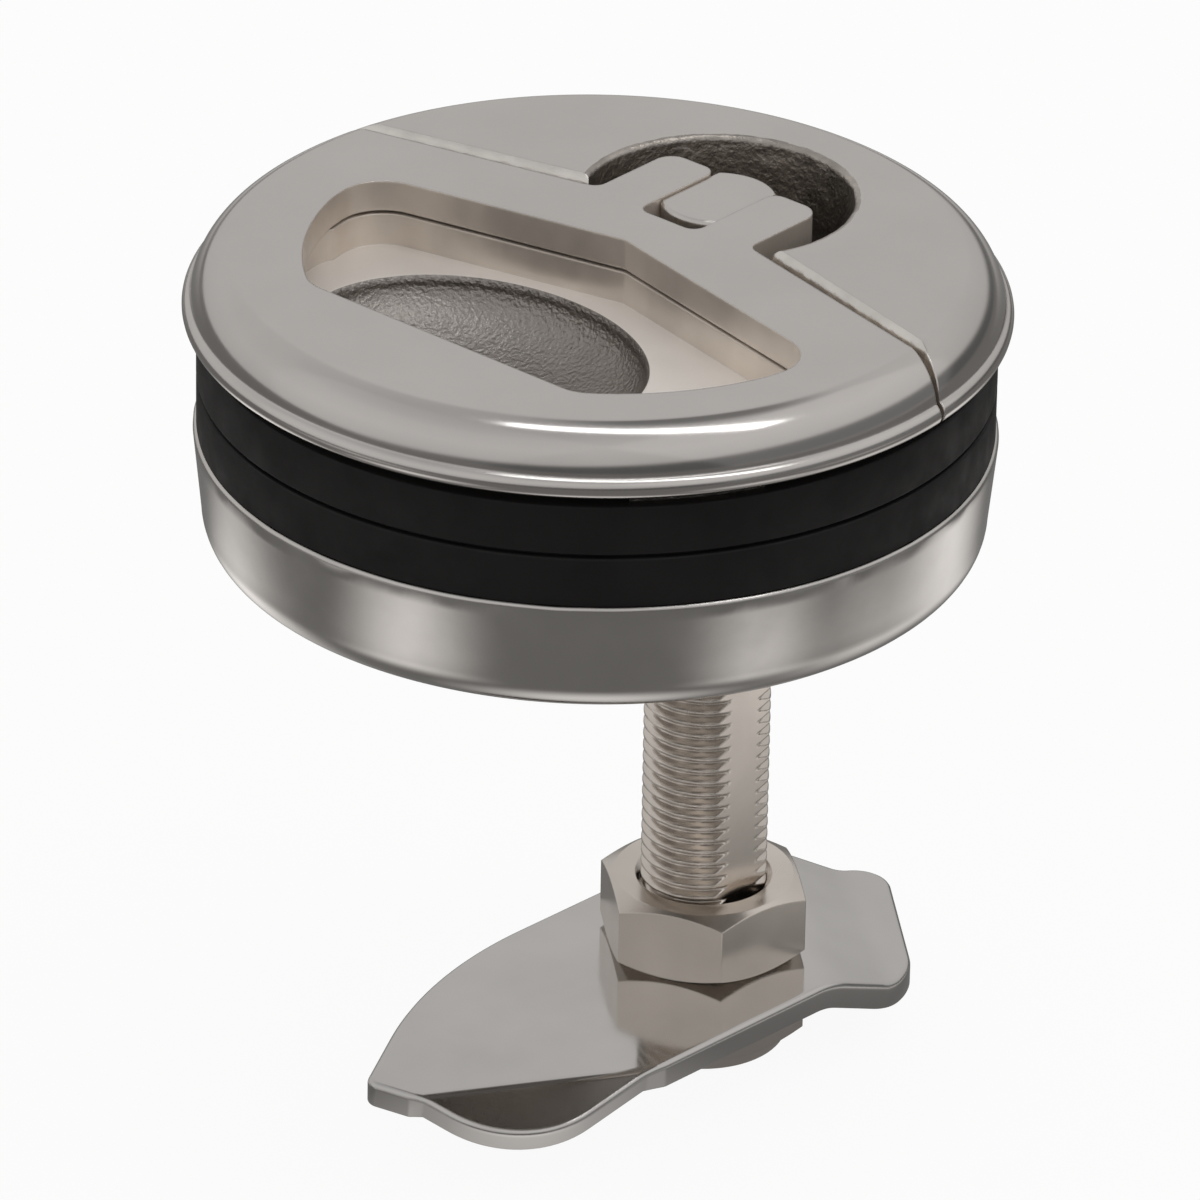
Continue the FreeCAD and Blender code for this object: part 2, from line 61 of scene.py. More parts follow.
# Flange section
flange_top = handle_high.z
flange_radius = -handle_low.y
flat_radius = flange_radius - 4.4 * MM
bevel_radius = flange_radius - 2.0 * MM
bevel_height = flange_top - 1.45 * MM
bead_radius = 1.0 * MM
bead_height = 2.1 * MM
bead_step = 0.25 * MM
rim_bottom = bead_height - bead_radius
plate_bottom = flange_top - 3.2 * MM
skirt_radius = flange_radius - 3.4 * MM
base_radius = skirt_radius - 0.6 * MM
platform_radius = base_radius - 0.8 * MM
platform_top = plate_bottom - 0.15 * MM
base_top = 1.7 * MM

# Hinge, shaft and recess
hinge_y = (pin_low.y + pin_high.y) / 2
hinge_z = (pin_low.z + pin_high.z) / 2
heel_seat = handle_low.z
heel_open_reach = 3.7 * MM
heel_lift = 3.0 * MM
heel_flat_y = -4.5 * MM
heel_shoulder_y = -6.8 * MM
bush_flange = 1.2 * MM
recess_floor = bush_high.z - bush_flange
recess_radius = 12.5 * MM
recess_floor_radius = 10.8 * MM
recess_front = hinge_y - 10.0 * MM
recess_lip = 0.6 * MM
bush_radius = 7.15 * MM

# Handle plan
edge_y = hinge_y - 4.3 * MM
edge_angle = math.radians(13.05)
edge_slope = math.tan(edge_angle)
edge_undercut = 1.3 * MM
knuckle_in = 3.5 * MM
knuckle_out = pin_high.x + 0.1 * MM
knuckle_fillet = 1.9 * MM
slot_front = hinge_y - 7.4 * MM
root_fillet = 1.3 * MM

# Finger well and dish
well_apex_y = edge_y - 8.8 * MM
well_slope = math.tan(math.radians(12.4))
well_radius = flange_radius - 10.15 * MM
well_centre = 1.15 * MM
well_front = -22.8 * MM
well_floor = 0.7 * MM
dish_centre = (-3.6 * MM, -13.0 * MM)
dish_half = (17.4 * MM, 13.6 * MM, 6.2 * MM)

# Housing under the flange
spigot_radius = 29.5 * MM
spigot_inner = 26.5 * MM
hub_low = -7.6 * MM
boss_radius = 9.7 * MM
lug_radius = base_radius + 1.7 * MM

# Stud thread
stud_radius = 6.0 * MM
stud_flat = 4.95 * MM
thread_pitch = 1.25 * MM
thread_depth = 0.72 * MM
journal_radius = shaft_high.x
eye_half = knuckle_in - 0.1 * MM
cam_turn = math.radians(-3.8)

# Nuts
nut_across = 18.0 * MM
nut_face = 8.55 * MM
nut_turn = math.radians(21.0)
nut_bore = 6.05 * MM
collar_radius = 8.3 * MM
collar_height = 1.5 * MM

# Cam plate
cam_thickness = 2.5 * MM
cam_edge = 0.6 * MM
cam_lower_edge = 0.15 * MM
cam_right = 14.45 * MM
cam_left = -13.4 * MM
cam_hole_flat = 5.0 * MM
ramp_angle = math.radians(24.0)
ramp_bend = 3.2 * MM
ramp_heading = math.radians(59.8)
ramp_corner_y = -20.5 * MM
tail_heading = math.radians(56.9)
joggle_drop = 3.5 * MM
joggle_start = 10.4 * MM
joggle_end = 17.4 * MM
joggle_bend = 7.0 * MM

# Backing cup
cup_radius = 37.0 * MM
cup_draft = 0.75 * MM
cup_sheet = 1.2 * MM
cup_corner = 3.4 * MM
cup_lip = 0.4 * MM
cup_lip_middle = 0.12 * MM
cup_hole_radius = (6.0 + 0.5) * MM

# Rubber rings
ring_joint = upper_ring_low.z
ring_outer = (upper_ring_high.x - upper_ring_low.x) / 2
ring_inner = 30.0 * MM
ring_edge = 0.2 * MM
ring_step_in = 0.7 * MM
ring_step_high = 0.2 * MM

# Camera, fitted to the photo
camera_azimuth = math.radians(41.0)
camera_elevation = math.radians(27.81)
camera_roll = math.radians(1.011)
camera_distance = 1.0
camera_aim = Vector((0.496 * MM, 0.431 * MM, -28.59 * MM))
focal_pixels = 10797.6
image_pixels = 1200.0

LATHE_STEPS = 320
# How far the middle of a quarter arc lies from its corner's sides, as a share of the radius
ARC_MIDDLE = 0.293
far = 2 * flange_radius


def link(obj):
    """Put an object in the scene."""
    bpy.context.scene.collection.objects.link(obj)
    return obj


def mesh_object(name, points, faces, material=None):
    """Object from points and faces, in the winding given."""
    mesh = bpy.data.meshes.new(name)
    mesh.from_pydata([tuple(p) for p in points], [], faces)
    mesh.validate()
    if material:
        mesh.materials.append(material)
    return link(bpy.data.objects.new(name, mesh))


def shade(obj, degrees=35, flat=False):
    """Smooth shading with sharp edges kept above an angle; flat keeps large faces flat beside rounds."""
    if flat:
        obj.modifiers.new("flat_faces", "WEIGHTED_NORMAL").keep_sharp = True
    obj.data.shade_smooth()
    obj.data.set_sharp_from_angle(angle=math.radians(degrees))
    return obj


def arc(start, middle, end, steps):
    """Points along the circle through three points, in any plane axes."""
    ax, ay = start
    bx, by = middle
    cx, cy = end
    d = 2 * (ax * (by - cy) + bx * (cy - ay) + cx * (ay - by))
    a2, b2, c2 = ax * ax + ay * ay, bx * bx + by * by, cx * cx + cy * cy
    ox = (a2 * (by - cy) + b2 * (cy - ay) + c2 * (ay - by)) / d
    oy = (a2 * (cx - bx) + b2 * (ax - cx) + c2 * (bx - ax)) / d
    radius = math.hypot(ax - ox, ay - oy)
    a0 = math.atan2(ay - oy, ax - ox)
    a1 = math.atan2(by - oy, bx - ox)
    a2 = math.atan2(cy - oy, cx - ox)
    turn = math.tau
    sweep = (a2 - a0) % turn
    if (a1 - a0) % turn > sweep:
        sweep -= turn
    return [(ox + radius * math.cos(a0 + sweep * i / steps), oy + radius * math.sin(a0 + sweep * i / steps))
            for i in range(steps + 1)]


def rounded(corners, steps=8):
    """Closed outline through corners (x, y, fillet radius)."""
    outline = []
    for i, (x, y, radius) in enumerate(corners):
        here = Vector((x, y))
        back = (Vector(corners[i - 1][:2]) - here).normalized()
        ahead = (Vector(corners[(i + 1) % len(corners)][:2]) - here).normalized()
        if radius <= 0:
            outline.append((x, y))
            continue
        half = back.angle(ahead) / 2
        trim = radius / math.tan(half)
        bisector = (back + ahead).normalized()
        middle = here + bisector * (radius / math.sin(half) - radius)
        outline += arc(tuple(here + back * trim), tuple(middle), tuple(here + ahead * trim), steps)
    return outline


def lathe(name, profile, material=None, steps=LATHE_STEPS, centre=(0.0, 0.0)):
    """Closed solid of revolution about a vertical axis; the profile runs from axis to axis or is a loop."""
    on_axis = profile[0][0] == 0.0 and profile[-1][0] == 0.0
    rings = profile[1:-1] if on_axis else profile
    points = []
    for radius, z in rings:
        for k in range(steps):
            angle = math.tau * k / steps
            points.append((centre[0] + radius * math.cos(angle), centre[1] + radius * math.sin(angle), z))
    faces = []
    count = len(rings)
    for i in range(count - 1 if on_axis else count):
        j = (i + 1) % count
        for k in range(steps):
            n = (k + 1) % steps
            faces.append((i * steps + k, i * steps + n, j * steps + n, j * steps + k))
    if on_axis:
        for ring, (radius, z), flip in ((0, profile[0], True), (count - 1, profile[-1], False)):
            points.append((centre[0], centre[1], z))
            hub = len(points) - 1
            for k in range(steps):
                n = (k + 1) % steps
                pair = (ring * steps + k, ring * steps + n)
                faces.append((pair[1], pair[0], hub) if flip else (pair[0], pair[1], hub))
    return outward(mesh_object(name, points, faces, material))


def outward(obj):
    """Turn a consistently wound closed mesh right side out."""
    work = bmesh.new()
    work.from_mesh(obj.data)
    if work.calc_volume(signed=True) < 0:
        bmesh.ops.reverse_faces(work, faces=work.faces)
        work.to_mesh(obj.data)
    work.free()
    return obj


def prism(name, outline, low, high, material=None):
    """Upright solid over an outline."""
    count = len(outline)
    points = [(x, y, low) for x, y in outline] + [(x, y, high) for x, y in outline]
    faces = [(i, (i + 1) % count, count + (i + 1) % count, count + i) for i in range(count)]
    faces += [tuple(reversed(range(count))), tuple(range(count, 2 * count))]
    return outward(mesh_object(name, points, faces, material))


def combine(target, tool, operation):
    """Boolean of two closed meshes, applied; the tool's own material stays on its faces."""
    for obj in (target, tool):
        obj.data.transform(Matrix.Scale(1 / MM, 4))
    modifier = target.modifiers.new("combine", "BOOLEAN")
    modifier.operation = operation
    modifier.solver = "EXACT"
    modifier.material_mode = "TRANSFER"
    modifier.object = tool
    bpy.context.view_layer.objects.active = target
    bpy.ops.object.modifier_apply(modifier=modifier.name)
    target.data.transform(Matrix.Scale(MM, 4))
    bpy.data.objects.remove(tool)
    return target


def roughen(obj, depth, size, wanted):
    """Move points along their normals by cast-like noise where the test allows."""
    for vertex in obj.data.vertices:
        weight = wanted(vertex.co)
        if weight > 0:
            at = vertex.co / size
            bump = noise.fractal(at, 1.0, 2.1, 4)
            vertex.co += vertex.normal * bump * depth * weight
    return obj


def tree_of(name, colour, roughness, metallic):
    """New material with its principled shader set to plain values."""
    material = bpy.data.materials.new(name)
    material.use_nodes = True
    nodes = material.node_tree.nodes
    shader = nodes["Principled BSDF"]
    shader.inputs["Base Color"].default_value = (*colour, 1.0)
    shader.inputs["Roughness"].default_value = roughness
    shader.inputs["Metallic"].default_value = metallic
    return material, nodes, material.node_tree.links, shader


def add_noise(nodes, links, scale, detail=4.0, stretch=(1, 1, 1)):
    """Noise texture over object space."""
    where = nodes.new("ShaderNodeTexCoord")
    mapping = nodes.new("ShaderNodeMapping")
    mapping.inputs["Scale"].default_value = stretch
    texture = nodes.new("ShaderNodeTexNoise")
    texture.inputs["Scale"].default_value = scale
    texture.inputs["Detail"].default_value = detail
    links.new(where.outputs["Object"], mapping.inputs["Vector"])
    links.new(mapping.outputs["Vector"], texture.inputs["Vector"])
    return texture.outputs["Fac"]


def add_range(nodes, links, value, low, high):
    """Map a 0 to 1 value onto a range."""
    spread = nodes.new("ShaderNodeMapRange")
    spread.inputs["From Min"].default_value = 0.3
    spread.inputs["From Max"].default_value = 0.7
    spread.inputs["To Min"].default_value = low
    spread.inputs["To Max"].default_value = high
    links.new(value, spread.inputs["Value"])
    return spread.outputs["Result"]


def add_colours(nodes, links, value, dark, light):
    """Blend two colours by a value."""
    ramp = nodes.new("ShaderNodeValToRGB")
    ramp.color_ramp.elements[0].position = 0.3
    ramp.color_ramp.elements[0].color = (*dark, 1.0)
    ramp.color_ramp.elements[1].position = 0.7
    ramp.color_ramp.elements[1].color = (*light, 1.0)
    links.new(value, ramp.inputs["Fac"])
    return ramp.outputs["Color"]


def add_bumps(nodes, links, shader, layers, edge):
    """Stack bump layers (value, strength, distance) on a rounded-edge normal."""
    normal = None
    if edge:
        bevel = nodes.new("ShaderNodeBevel")
        bevel.samples = 6
        bevel.inputs["Radius"].default_value = edge
        normal = bevel.outputs["Normal"]
    for value, strength, distance in layers:
        bump = nodes.new("ShaderNodeBump")
        bump.inputs["Strength"].default_value = strength
        bump.inputs["Distance"].default_value = distance
        links.new(value, bump.inputs["Height"])
        if normal:
            links.new(normal, bump.inputs["Normal"])
        normal = bump.outputs["Normal"]
    if normal:
        links.new(normal, shader.inputs["Normal"])


def steel(name, colour, roughness, spread, stain, grain, edge, stretch=(1, 1, 1), metallic=1.0):
    """Stainless steel, a little uneven; grain is (scale, bump strength, depth), edge the radius of soft edges."""
    material, nodes, links, shader = tree_of(name, colour, roughness, metallic)
    stains = add_noise(nodes, links, 90.0, 3.0)
    dark = tuple(c * (1 - stain) for c in colour)
    links.new(add_colours(nodes, links, stains, dark, colour), shader.inputs["Base Color"])
    gloss = add_noise(nodes, links, 160.0, 5.0, stretch)
    links.new(add_range(nodes, links, gloss, roughness - spread, roughness + spread), shader.inputs["Roughness"])
    fine = add_noise(nodes, links, grain[0], 6.0, stretch)
    wave = add_noise(nodes, links, 60.0, 2.0)
    add_bumps(nodes, links, shader, [(wave, 0.25, 0.05 * MM), (fine, grain[1], grain[2])], edge)
    return material


def cast_steel(name, colour, roughness, patchy, depth, size=0.5):
    """Sand-cast steel: pebbles of a size in mm; patchy is (darkest share of the colour, bump strength)."""
    material, nodes, links, shader = tree_of(name, colour, roughness, 1.0)
    patches = add_noise(nodes, links, 350.0, 5.0)
    dark = tuple(c * patchy[0] for c in colour)
    links.new(add_colours(nodes, links, patches, dark, colour), shader.inputs["Base Color"])
    coarse = add_noise(nodes, links, 1000.0 / size, 2.0)
    fine = add_noise(nodes, links, 3000.0 / size, 3.0)
    add_bumps(nodes, links, shader, [(coarse, patchy[1], depth), (fine, 0.6, depth / 3)], 0.25 * MM)
    return material


def rubber(name):
    """Black moulded rubber with a fine matt skin and a little dust."""
    colour = (0.0085, 0.0078, 0.0078)
    material, nodes, links, shader = tree_of(name, colour, 0.62, 0.0)
    shader.inputs["Specular IOR Level"].default_value = 0.3
    dust = add_noise(nodes, links, 130.0, 6.0)
    links.new(add_colours(nodes, links, dust, colour, (0.014, 0.013, 0.013)), shader.inputs["Base Color"])
    skin = add_noise(nodes, links, 2600.0, 4.0)
    swirl = add_noise(nodes, links, 300.0, 3.0)
    links.new(add_range(nodes, links, swirl, 0.5, 0.72), shader.inputs["Roughness"])
    add_bumps(nodes, links, shader, [(swirl, 0.15, 0.08 * MM), (skin, 0.25, 0.02 * MM)], 0.2 * MM)
    return material


def plastic(name, colour):
    """Matt engineering plastic."""
    material, nodes, links, shader = tree_of(name, colour, 0.5, 0.0)
    fine = add_noise(nodes, links, 2200.0, 4.0)
    links.new(add_range(nodes, links, fine, 0.42, 0.6), shader.inputs["Roughness"])
    add_bumps(nodes, links, shader, [(fine, 0.2, 0.02 * MM)], 0.0)
    return material


satin = steel("satin_steel", (0.61, 0.585, 0.565), 0.14, 0.02, 0.05, (1400.0, 0.10, 0.01 * MM), 0.3 * MM)
# Well floor steel: its colour is lifted far above the plate's steel and its metal share lowered. This is painted
# light that stands in for the light falling into the finger well.
floor_steel_painted_light = steel("well_floor_steel_painted_light", (0.93, 0.885, 0.84), 0.42, 0.04, 0.06, (1400.0, 0.15, 0.01 * MM),
                    0.25 * MM, metallic=0.35)
# Brushed steel of the walls: its colour is lifted to a pale warm tone and its metal share lowered. This is painted
# light that stands in for the light falling on the walls.
wall_steel_painted_light = steel("brushed_wall_painted_light", (0.88, 0.80, 0.72), 0.40, 0.08, 0.3, (1100.0, 0.6, 0.03 * MM),
                   0.35 * MM, (3, 3, 0.5), metallic=0.6)
rough_cast = cast_steel("rough_cast", (0.52, 0.48, 0.44), 0.33, (0.6, 1.0), 0.10 * MM)
cast_edge = cast_steel("cast_edge", (0.80, 0.77, 0.73), 0.26, (0.85, 0.6), 0.05 * MM)
dish_cast = cast_steel("dish_cast", (0.35, 0.325, 0.305), 0.34, (0.9, 1.0), 0.16 * MM, 0.4)
polished = steel("polished_steel", (0.60, 0.585, 0.57), 0.11, 0.04, 0.08, (700.0, 0.08, 0.01 * MM), 0.25 * MM)
drawn = steel("drawn_steel", (0.64, 0.62, 0.60), 0.17, 0.06, 0.14, (500.0, 0.25, 0.02 * MM), 0.25 * MM)
machined = steel("machined_steel", (0.74, 0.685, 0.63), 0.22, 0.06, 0.14, (1200.0, 0.25, 0.012 * MM), 0.2 * MM)
black_rubber = rubber("black_rubber")
acetal = plastic("black_acetal", (0.03, 0.03, 0.03))


def flange_profile():
    """Section of the flange from the top's centre to the bead's foot."""
    neck = (flange_radius - bead_radius + bead_step, bead_height + bead_radius)
    foot = (flange_radius - bead_radius, rim_bottom)
    bevel = arc((flat_radius, flange_top), (bevel_radius, bevel_height), neck, 20)
    bead = arc(neck, (flange_radius, bead_height), foot, 14)
    return [(0.0, flange_top)] + bevel + bead[1:]


def mirrored(right):
    """Closed outline corners from the right half, listed front to back."""
    return right + [(-x, y, radius) for x, y, radius in reversed(right)]


def lever_edge(x):
    """Y of the handle's rear edge."""
    return edge_y - abs(x) * edge_slope


def well_side(centre, grown):
    """Right half of the finger opening, if its round end's centre lies at this x."""
    apex = well_apex_y + grown
    radius = well_radius + grown
    a = 1 + well_slope ** 2
    b = centre + well_slope * apex
    c = centre ** 2 + apex ** 2 - radius ** 2
    rear_x = (b + math.sqrt(b * b - a * c)) / a
    rear = math.atan2(apex - well_slope * rear_x, rear_x - centre)
    front = -math.asin((grown - well_front) / radius)
    steps = 24
    side = []
    for i in range(steps + 1):
        angle = rear + (front - rear) * i / steps
        side.append((centre + radius * math.cos(angle), radius * math.sin(angle), 0.0))
    corner = (side[0][0], side[0][1], 4.5 * MM)
    nose = (side[-1][0], side[-1][1], 4.0 * MM)
    return [corner] + side[6:-2] + [nose]


def well_outline(forward=0.0, grown=0.0):
    """Plan of the finger opening, moved forward or grown all round if asked."""
    left = [(-x, y, radius) for x, y, radius in reversed(well_side(-well_centre, grown))]
    outline = rounded([(0.0, well_apex_y + grown, 1.2 * MM)] + well_side(well_centre, grown) + left, 10)
    return [(x, y - forward) for x, y in outline]


def heel_outline():
    """Side view of a knuckle, with its involute heel."""
    reach_now = hinge_z - heel_seat
    rate = heel_lift / (math.pi / 2)
    curve = []
    steps = 24
    for i in range(steps + 1):
        angle = math.pi / 2 * i / steps
        reach = reach_now - rate * angle
        y = reach * math.sin(angle) - rate * math.cos(angle)
        z = -reach * math.cos(angle) - rate * math.sin(angle)
        curve.append((hinge_y + y, hinge_z + z))
    top = flange_top + MM
    return curve + [
        (hinge_y + heel_open_reach, top),
        (hinge_y + heel_shoulder_y, top),
        (hinge_y + heel_shoulder_y, plate_bottom - 0.1 * MM),
        (hinge_y + heel_flat_y, heel_seat),
    ]


def turned_prism(name, outline, x0, x1, material=None):
    """Solid along X over an outline given as (y, z)."""
    solid = prism(name, outline, x0, x1, material)
    solid.data.transform(Matrix(((0, 0, 1, 0), (1, 0, 0, 0), (0, 1, 0, 0), (0, 0, 0, 1))))
    return outward(solid)


def make_handle():
    """Handle plate with its skirt, opening, knuckles and heels."""
    shell = [(0.0, plate_bottom), (skirt_radius, plate_bottom), (skirt_radius, rim_bottom)]
    profile = flange_profile() + list(reversed(shell))
    plate = lathe("handle_plate", profile, satin)
    sunk = 0.02 * MM
    for side in (knuckle_in - sunk, -knuckle_out):
        heel = turned_prism("heel", heel_outline(), side, side + knuckle_out - knuckle_in + sunk, wall_steel_painted_light)
        cap = prism("cap", [(-far, -far), (far, -far), (far, far), (-far, far)], -far, flange_top, satin)
        heel = combine(heel, cap, "INTERSECT")
        plate = combine(plate, heel, "UNION")
    reach = hinge_y + heel_open_reach
    plan = mirrored([
        (knuckle_in, slot_front, root_fillet),
        (knuckle_in, reach, root_fillet),
        (knuckle_out, reach, knuckle_fillet),
        (knuckle_out, lever_edge(knuckle_out), root_fillet),
        (far, lever_edge(far), 0.0),
        (far, -far, 0.0),
    ])
    plate = combine(plate, prism("plan", rounded(plan), heel_seat - MM, flange_top + MM, wall_steel_painted_light), "INTERSECT")
    low = plate_bottom - MM
    relief = [(0.0, flange_top), (-edge_undercut, plate_bottom), (-edge_undercut, low), (far, low), (far, flange_top)]
    start = knuckle_out + root_fillet
    for stations in ((start, platform_radius), (-platform_radius, -start)):
        plate = combine(plate, edge_tool("relief", relief, stations, wall_steel_painted_light), "DIFFERENCE")
    well = prism("well", well_outline(), rim_bottom - MM, flange_top + MM, wall_steel_painted_light)
    plate = combine(plate, well, "DIFFERENCE")
    shadow_gap = prism("shadow_gap", well_outline(0.0, 0.35 * MM), plate_bottom - MM, plate_bottom + 0.22 * MM,
                       wall_steel_painted_light)
    plate = combine(plate, shadow_gap, "DIFFERENCE")
    plate.name = "handle_plate"
    return shade(plate, 35, True)


def edge_tool(name, section, stations, material):
    """Solid along the V edge through some x stations, over a section of (distance behind it, z)."""
    count = len(section)
    points = []
    for x in stations:
        points += [(x, lever_edge(x) + gap / math.cos(edge_angle), z) for gap, z in section]
    faces = []
    for first in range(0, count * (len(stations) - 1), count):
        for i in range(count):
            j = (i + 1) % count
            faces.append((first + i, first + j, first + count + j, first + count + i))
    last = count * (len(stations) - 1)
    faces += [tuple(reversed(range(count))), tuple(range(last, last + count))]
    return outward(mesh_object(name, points, faces, material))


def groove_tool():
    """What lies in front of the rear flange, whose V edge is rolled back and left as cast."""
    edge = [(0.5 * MM, plate_bottom)] + arc((0.7 * MM, flange_top - 1.6 * MM), (0.98 * MM, flange_top - 0.55 * MM),
                                            (1.5 * MM, flange_top), 10)
    low, high = rim_bottom - MM, flange_top + MM
    section = [(-far, low), (edge[0][0], low)] + edge + [(edge[-1][0], high), (-far, high)]
    steps = 300
    inner = [flange_radius * (2 * i / steps - 1) for i in range(steps + 1)]
    tool = edge_tool("groove_tool", section, [-far] + inner + [far], cast_edge)
    roll_low = flange_top - 1.5 * MM
    middle_shift = 0.75 * MM
    for vertex in tool.data.vertices:
        across = abs(vertex.co.x)
        if vertex.co.z > roll_low and across < flange_radius and vertex.co.y > lever_edge(vertex.co.x):
            vertex.co.y += middle_shift * (1 - across / flange_radius)
    tool.data.update()
    return roughen(tool, 0.05 * MM, 1.1 * MM, groove_roughness)


def groove_roughness(at):
    """Share of the cast roughness: only the rolled part of the edge has it, and the middle lies in the recess."""
    if not flange_top - 1.2 * MM < at.z < flange_top + 0.1 * MM:
        return 0.0
    return 1.0 if 9 * MM < abs(at.x) < flat_radius else 0.0


def recess_tool():
    """Cut of the round recess: rough floor and wall with a rolled lip."""
    floor = [(r * MM, recess_floor) for r in (3.0, 6.0, 8.0)]
    heel = (recess_floor_radius - 1.4 * MM, recess_floor)
    foot = (recess_floor_radius + 0.1 * MM, recess_floor + 1.3 * MM)
    corner = arc(heel, (recess_floor_radius - 0.35 * MM, recess_floor + 0.35 * MM), foot, 8)
    head = (recess_radius, flange_top - recess_lip)
    rim = recess_radius + recess_lip
    turned = recess_lip * (1 - math.sqrt(0.5))
    lip = arc(head, (recess_radius + turned, flange_top - turned), (rim, flange_top), 8)
    steps = 40
    wall = [(foot[0] + (head[0] - foot[0]) * i / steps, foot[1] + (head[1] - foot[1]) * i / steps)
            for i in range(1, steps)]
    profile = [(0.0, recess_floor)] + floor + corner + wall + lip + [(rim, flange_top + MM), (0.0, flange_top + MM)]
    tool = lathe("recess_tool", profile, rough_cast, centre=(0.0, hinge_y))
    return roughen(tool, 0.05 * MM, 1.4 * MM, recess_roughness)


def recess_roughness(at):
    """Share of the cast roughness: none on the flat top, most on the wall."""
    if at.z > flange_top + 0.5 * MM:
        return 0.0
    return 1.0 if at.z < flange_top - 0.05 * MM else 0.6


def bay_tool():
    """Square bay in front of the recess that the heels swing through."""
    half = knuckle_out + 0.5 * MM
    outline = rounded([(-half, recess_front, 1.2 * MM), (half, recess_front, 1.2 * MM), (half, hinge_y, 0.0),
                       (-half, hinge_y, 0.0)])
    return prism("bay_tool", outline, recess_floor - 0.02 * MM, flange_top + MM, rough_cast)


def dish_tool():
    """Half ellipsoid of the finger dish with a rolled rim and a cap above the well's floor."""
    profile = [(0.0, -1.0)]
    steps = 48
    top_angle = math.radians(-8.0)
    for i in range(1, steps + 1):
        angle = -math.pi / 2 + (math.pi / 2 + top_angle) * i / steps
        profile.append((math.cos(angle), math.sin(angle)))
    side, height = profile[-1]
    profile += arc((side, height), (side + 0.006, height * 0.4), (side + 0.02, 0.0), 6)[1:]
    profile += [(side + 0.02, 0.3), (0.0, 0.3)]
    tool = lathe("dish_tool", profile, dish_cast)
    tool.data.transform(Matrix.Translation((*dish_centre, well_floor)) @ Matrix.Diagonal((*dish_half, 1.0)))
    tool.data.update()
    return roughen(tool, 0.03 * MM, 1.6 * MM, dish_roughness)


def dish_roughness(at):
    """Share of the cast roughness: none near the dish's rim."""
    return 1.0 if at.z < well_floor - 0.5 * MM else 0.0


def lug_tool(angle):
    """Cast lug on the base's edge, centred on an angle."""
    half = math.radians(10.0)
    steps = 12
    inner = base_radius - 2 * MM
    sweep = [angle - half + 2 * half * i / steps for i in range(steps + 1)]
    outline = [(lug_radius * math.cos(a), lug_radius * math.sin(a)) for a in sweep]
    outline += [(inner * math.cos(a), inner * math.sin(a)) for a in reversed(sweep)]
    return prism("lug", outline, 0.0, rim_bottom - 0.2 * MM, rough_cast)


def make_housing():
    """Housing: seat, platform, rear flange, well, dish, recess, spigot and shaft boss."""
    spigot_low = cup_low.z + 1.2 * MM
    section = [(0.0, hub_low), (spigot_inner, hub_low), (spigot_inner, spigot_low), (spigot_radius, spigot_low),
               (spigot_radius, 0.0), (base_radius, 0.0), (base_radius, base_top), (platform_radius, base_top),
               (platform_radius, platform_top), (0.0, platform_top)]
    body = lathe("base", section, wall_steel_painted_light)
    for angle in (math.radians(-34.0), math.radians(214.0)):
        body = combine(body, lug_tool(angle), "UNION")
    rear = lathe("rear_flange", flange_profile() + [(0.0, rim_bottom)], satin)
    rear = combine(rear, groove_tool(), "DIFFERENCE")
    body = combine(body, rear, "UNION")
    boss_low = bush_low.z - 3.5 * MM
    boss = lathe("boss", [(0.0, boss_low), (boss_radius, boss_low), (boss_radius, hub_low + MM), (0.0, hub_low + MM)],
                 wall_steel_painted_light, centre=(0.0, hinge_y))
    body = combine(body, boss, "UNION")
    for forward in (4.0 * MM, 0.0):
        well = prism("well_cut", well_outline(forward), well_floor, flange_top + MM, wall_steel_painted_light)
        # The well's flat floor takes the steel that has been lightened as painted light.
        well.data.materials.append(floor_steel_painted_light)
        for face in well.data.polygons:
            if abs(face.normal.z) > 0.9:
                face.material_index = 1
        body = combine(body, well, "DIFFERENCE")
    body = combine(body, dish_tool(), "DIFFERENCE")
    body = combine(body, recess_tool(), "DIFFERENCE")
    body = combine(body, bay_tool(), "DIFFERENCE")
    bore = bush_radius - 0.02 * MM
    hole_low = bush_low.z - 1.7 * MM
    hole = lathe("hole", [(0.0, hole_low), (bore, hole_low), (bore, flange_top), (0.0, flange_top)], wall_steel_painted_light, 128,
                 (0.0, hinge_y))
    body = combine(body, hole, "DIFFERENCE")
    body.name = "housing_top"
    return shade(body, 35, True)


